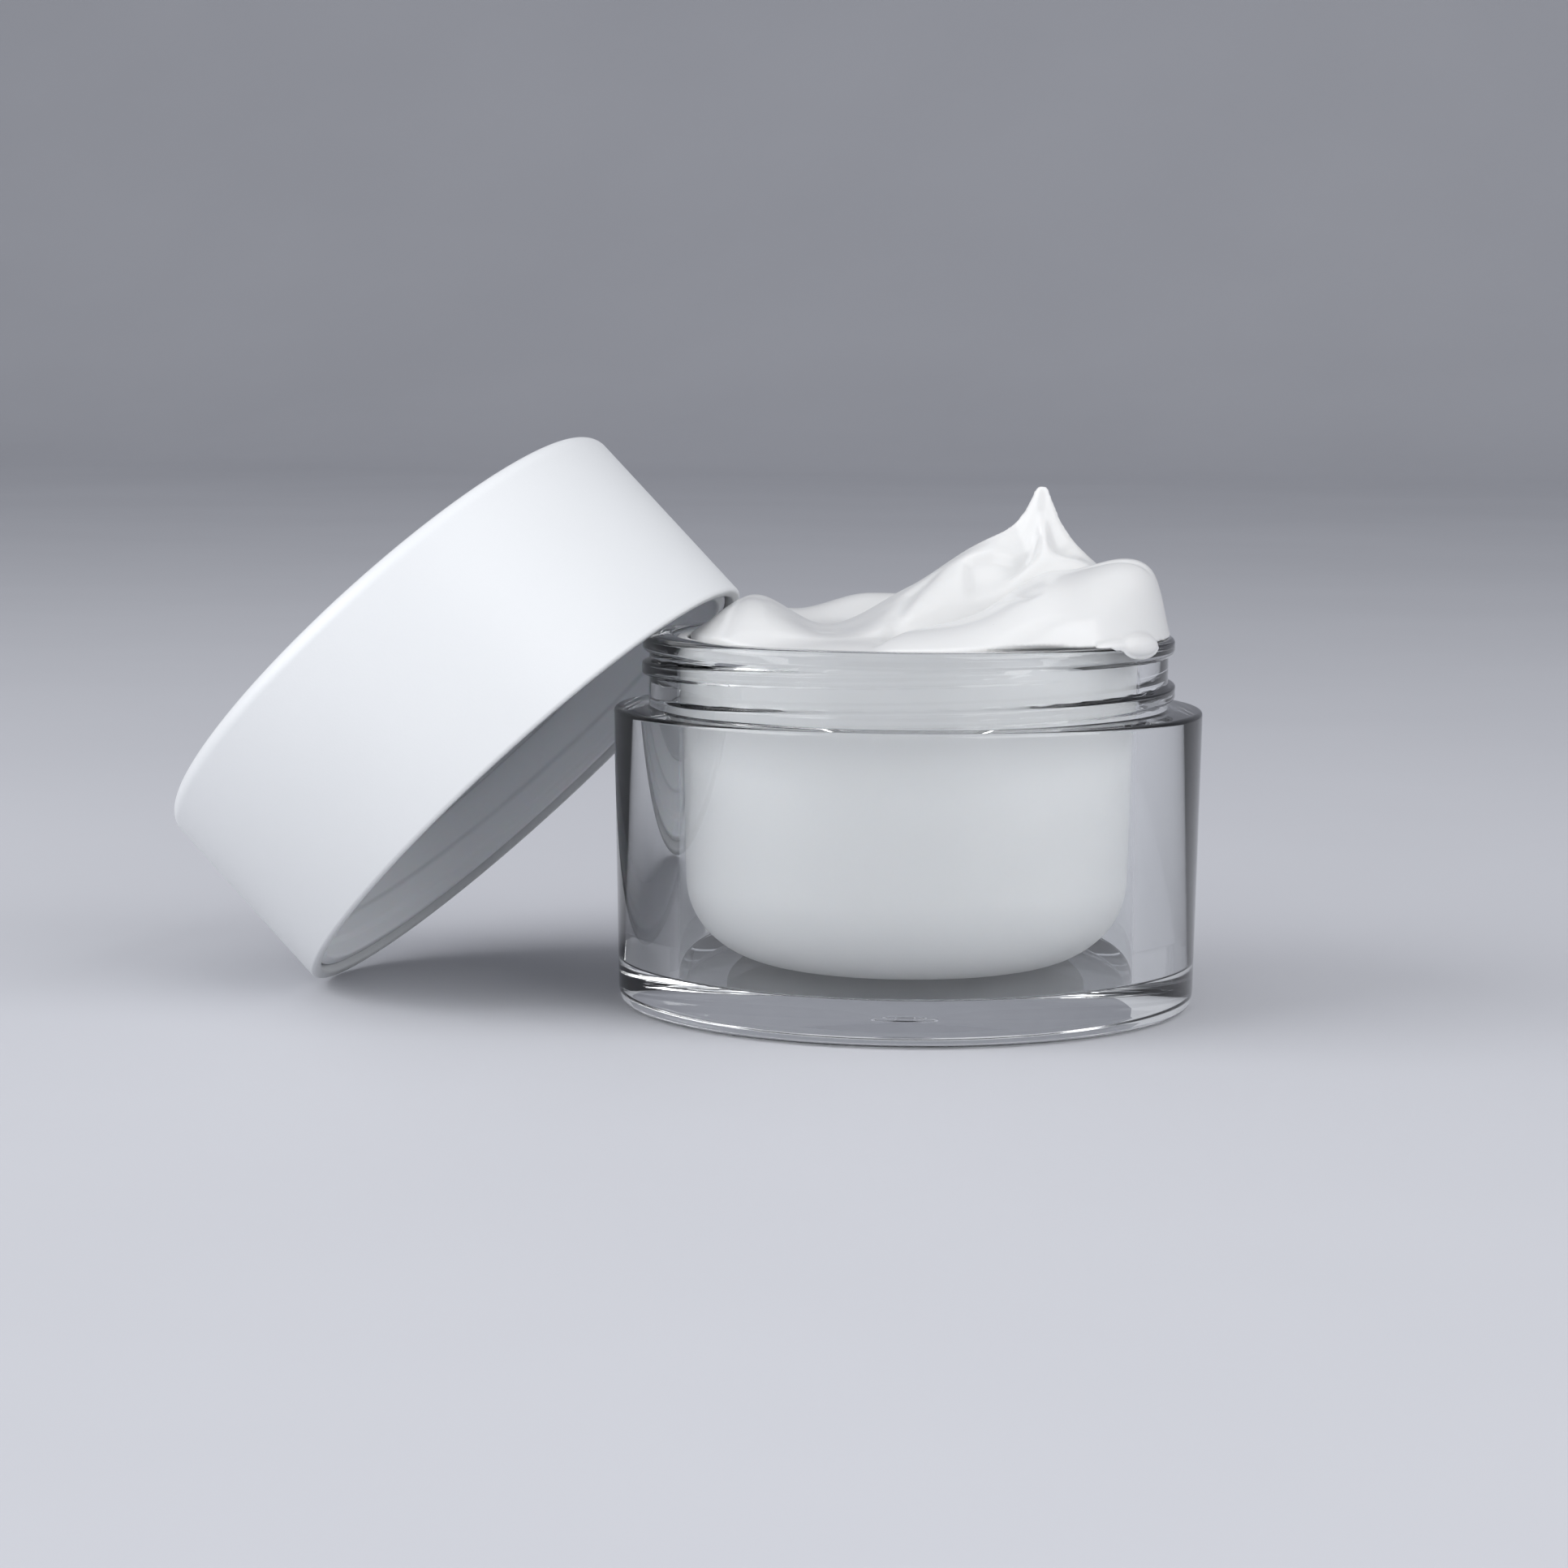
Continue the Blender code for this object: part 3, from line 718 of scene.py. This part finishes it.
def makeFloor(material):
    size = {"width": 6.0, "front": 1.6, "back": 2.6, "wallHeight": 2.4, "sweep": 0.8, "clearance": 0.00012}
    bpy.ops.object.select_all(action="DESELECT")
    bpy.ops.mesh.primitive_plane_add(size=1.0)
    floor = bpy.context.object
    floor.name = floor.data.name = "floor"
    workOn(floor, "EDIT")
    bpy.ops.transform.resize(value=(size["width"], size["front"] + size["back"], 1))
    bpy.ops.transform.translate(value=(0, (size["back"] - size["front"]) / 2, 0))
    pick(floor, "EDGE", lambda spot: spot.y > size["back"] - 0.01)
    bpy.ops.mesh.extrude_region_move(TRANSFORM_OT_translate={"value": (0, 0, size["wallHeight"])})
    pick(floor, "EDGE", lambda spot: spot.y > size["back"] - 0.01 and spot.z < 0.01)
    bpy.ops.mesh.bevel(offset=size["sweep"], segments=24, affect="EDGES")
    bpy.ops.object.mode_set(mode="OBJECT")
    bpy.ops.object.shade_smooth()
    floor.data.materials.append(material)
    workOn(floor, "EDIT")
    bpy.ops.mesh.select_all(action="SELECT")
    bpy.ops.transform.translate(value=(0, 0, -size["clearance"]))
    bpy.ops.object.mode_set(mode="OBJECT")


def addSoftbox(name, place, target, width, height, power, color=(1.0, 1.0, 1.0)):
    bpy.ops.object.light_add(type="AREA", location=place)
    lamp = bpy.context.object
    lamp.name = name
    lamp.data.shape = "RECTANGLE"
    lamp.data.size, lamp.data.size_y = width, height
    lamp.data.energy = power
    lamp.data.color = color
    lamp.rotation_euler = (Vector(target) - Vector(place)).to_track_quat("-Z", "Y").to_euler()


def makeStudio():
    middle = (-0.015, 0, 0.03)
    addSoftbox("keyLeft", (-0.68, -0.44, 0.47), middle, 0.90, 0.72, 6.6, (0.98, 0.99, 1.0))
    addSoftbox("fillRight", (0.70, -0.34, 0.46), middle, 0.90, 0.72, 5.8, (0.99, 0.995, 1.0))
    addSoftbox("topSoft", (-0.05, -0.20, 0.85), middle, 0.8, 0.8, 0.9)
    addSoftbox("frontSoft", (-0.16, -1.10, 0.48), middle, 1.2, 0.6, 1.0)
    world = bpy.data.worlds.new("studio")
    bpy.context.scene.world = world
    world.use_nodes = True
    world.node_tree.nodes["Background"].inputs["Color"].default_value = (0.80, 0.82, 0.88, 1.0)
    world.node_tree.nodes["Background"].inputs["Strength"].default_value = 0.62


def makeCamera():
    view = {"place": (0.0900, -0.4190, 0.0706), "heading": 13.96, "pitch": 6.24, "roll": 0.37, "lens": 90.54}
    bpy.ops.object.camera_add(location=view["place"])
    camera = bpy.context.object
    camera.name = "camera"
    turn = (math.radians(90 - view["pitch"]), math.radians(-view["roll"]), math.radians(view["heading"]))
    camera.rotation_euler = Euler(turn, "XYZ")
    camera.data.lens = view["lens"]
    camera.data.sensor_width = 36.0
    camera.data.clip_start = 0.01
    bpy.context.scene.camera = camera
    bpy.context.scene.view_settings.view_transform = "Standard"


makeCamera()
makeFloor(makeFloorPaint())
makeStudio()
makeOuterJar(makeClearAcrylic())
makeInnerCup(makeCupWhite())
makeCream(makeCreamGloss())
makeCapShell(makeCapWhite())
makeCapInsert(makeInsertWhite())
makeCapGasket(makeGasketFoam())
